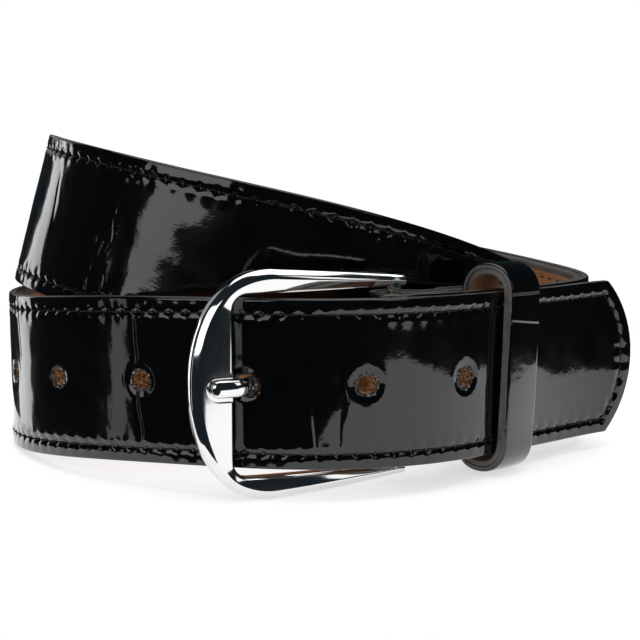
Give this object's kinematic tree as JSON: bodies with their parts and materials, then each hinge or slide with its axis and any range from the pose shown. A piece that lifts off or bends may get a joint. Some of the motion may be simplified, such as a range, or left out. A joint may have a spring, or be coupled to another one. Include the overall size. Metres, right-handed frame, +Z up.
{
  "type": "leather belt",
  "caption": "Buckled patent leather belt coiled twice and standing on its edge, with a horseshoe buckle, pivoting prong, keeper loop, punched holes and edge seams.",
  "frame": {"origin": "middle of the footprint, on the surface the belt stands on", "axes": "+X towards the side of the tongue's tip, -Y out of the buckle's front, +Z up"},
  "size_m": [0.157, 0.106, 0.0773],
  "materials": {
    "patent_leather": "black patent, high gloss with fine creases",
    "lining_leather": "tan split leather, matt",
    "thread": "black waxed thread",
    "chrome": "polished plate"
  },
  "bodies": {
    "strap": {"strap_patent_ply": "patent_leather", "strap_lining_ply": "lining_leather", "upper_edge_thread": "thread", "lower_edge_thread": "thread", "tip_thread": "thread", "fold_thread_near_bar": "thread", "fold_thread_near_end": "thread"},
    "buckle": {"buckle_frame": "chrome", "buckle_bar": "chrome"},
    "prong": {"buckle_prong": "chrome"},
    "keeper": {"keeper_patent_ply": "patent_leather", "keeper_lining_ply": "lining_leather"}
  },
  "joints": [
    {"name": "buckle_hinge", "type": "hinge", "parent": "strap", "child": "buckle", "pos_m": [0.01703, -0.03386, 0.026], "axis": [0, 0, 1], "range_deg": [0, 1.5]},
    {"name": "prong_hinge", "type": "hinge", "parent": "buckle", "child": "prong", "pos_m": [0.01703, -0.03386, 0.026], "axis": [0, 0, 1], "range_deg": [0, 1.5]},
    {"name": "keeper_slide", "type": "slide", "parent": "strap", "child": "keeper", "axis": [-0.6237, -0.779, 0.0641], "range_m": [-0.001, 0.001]}
  ]
}
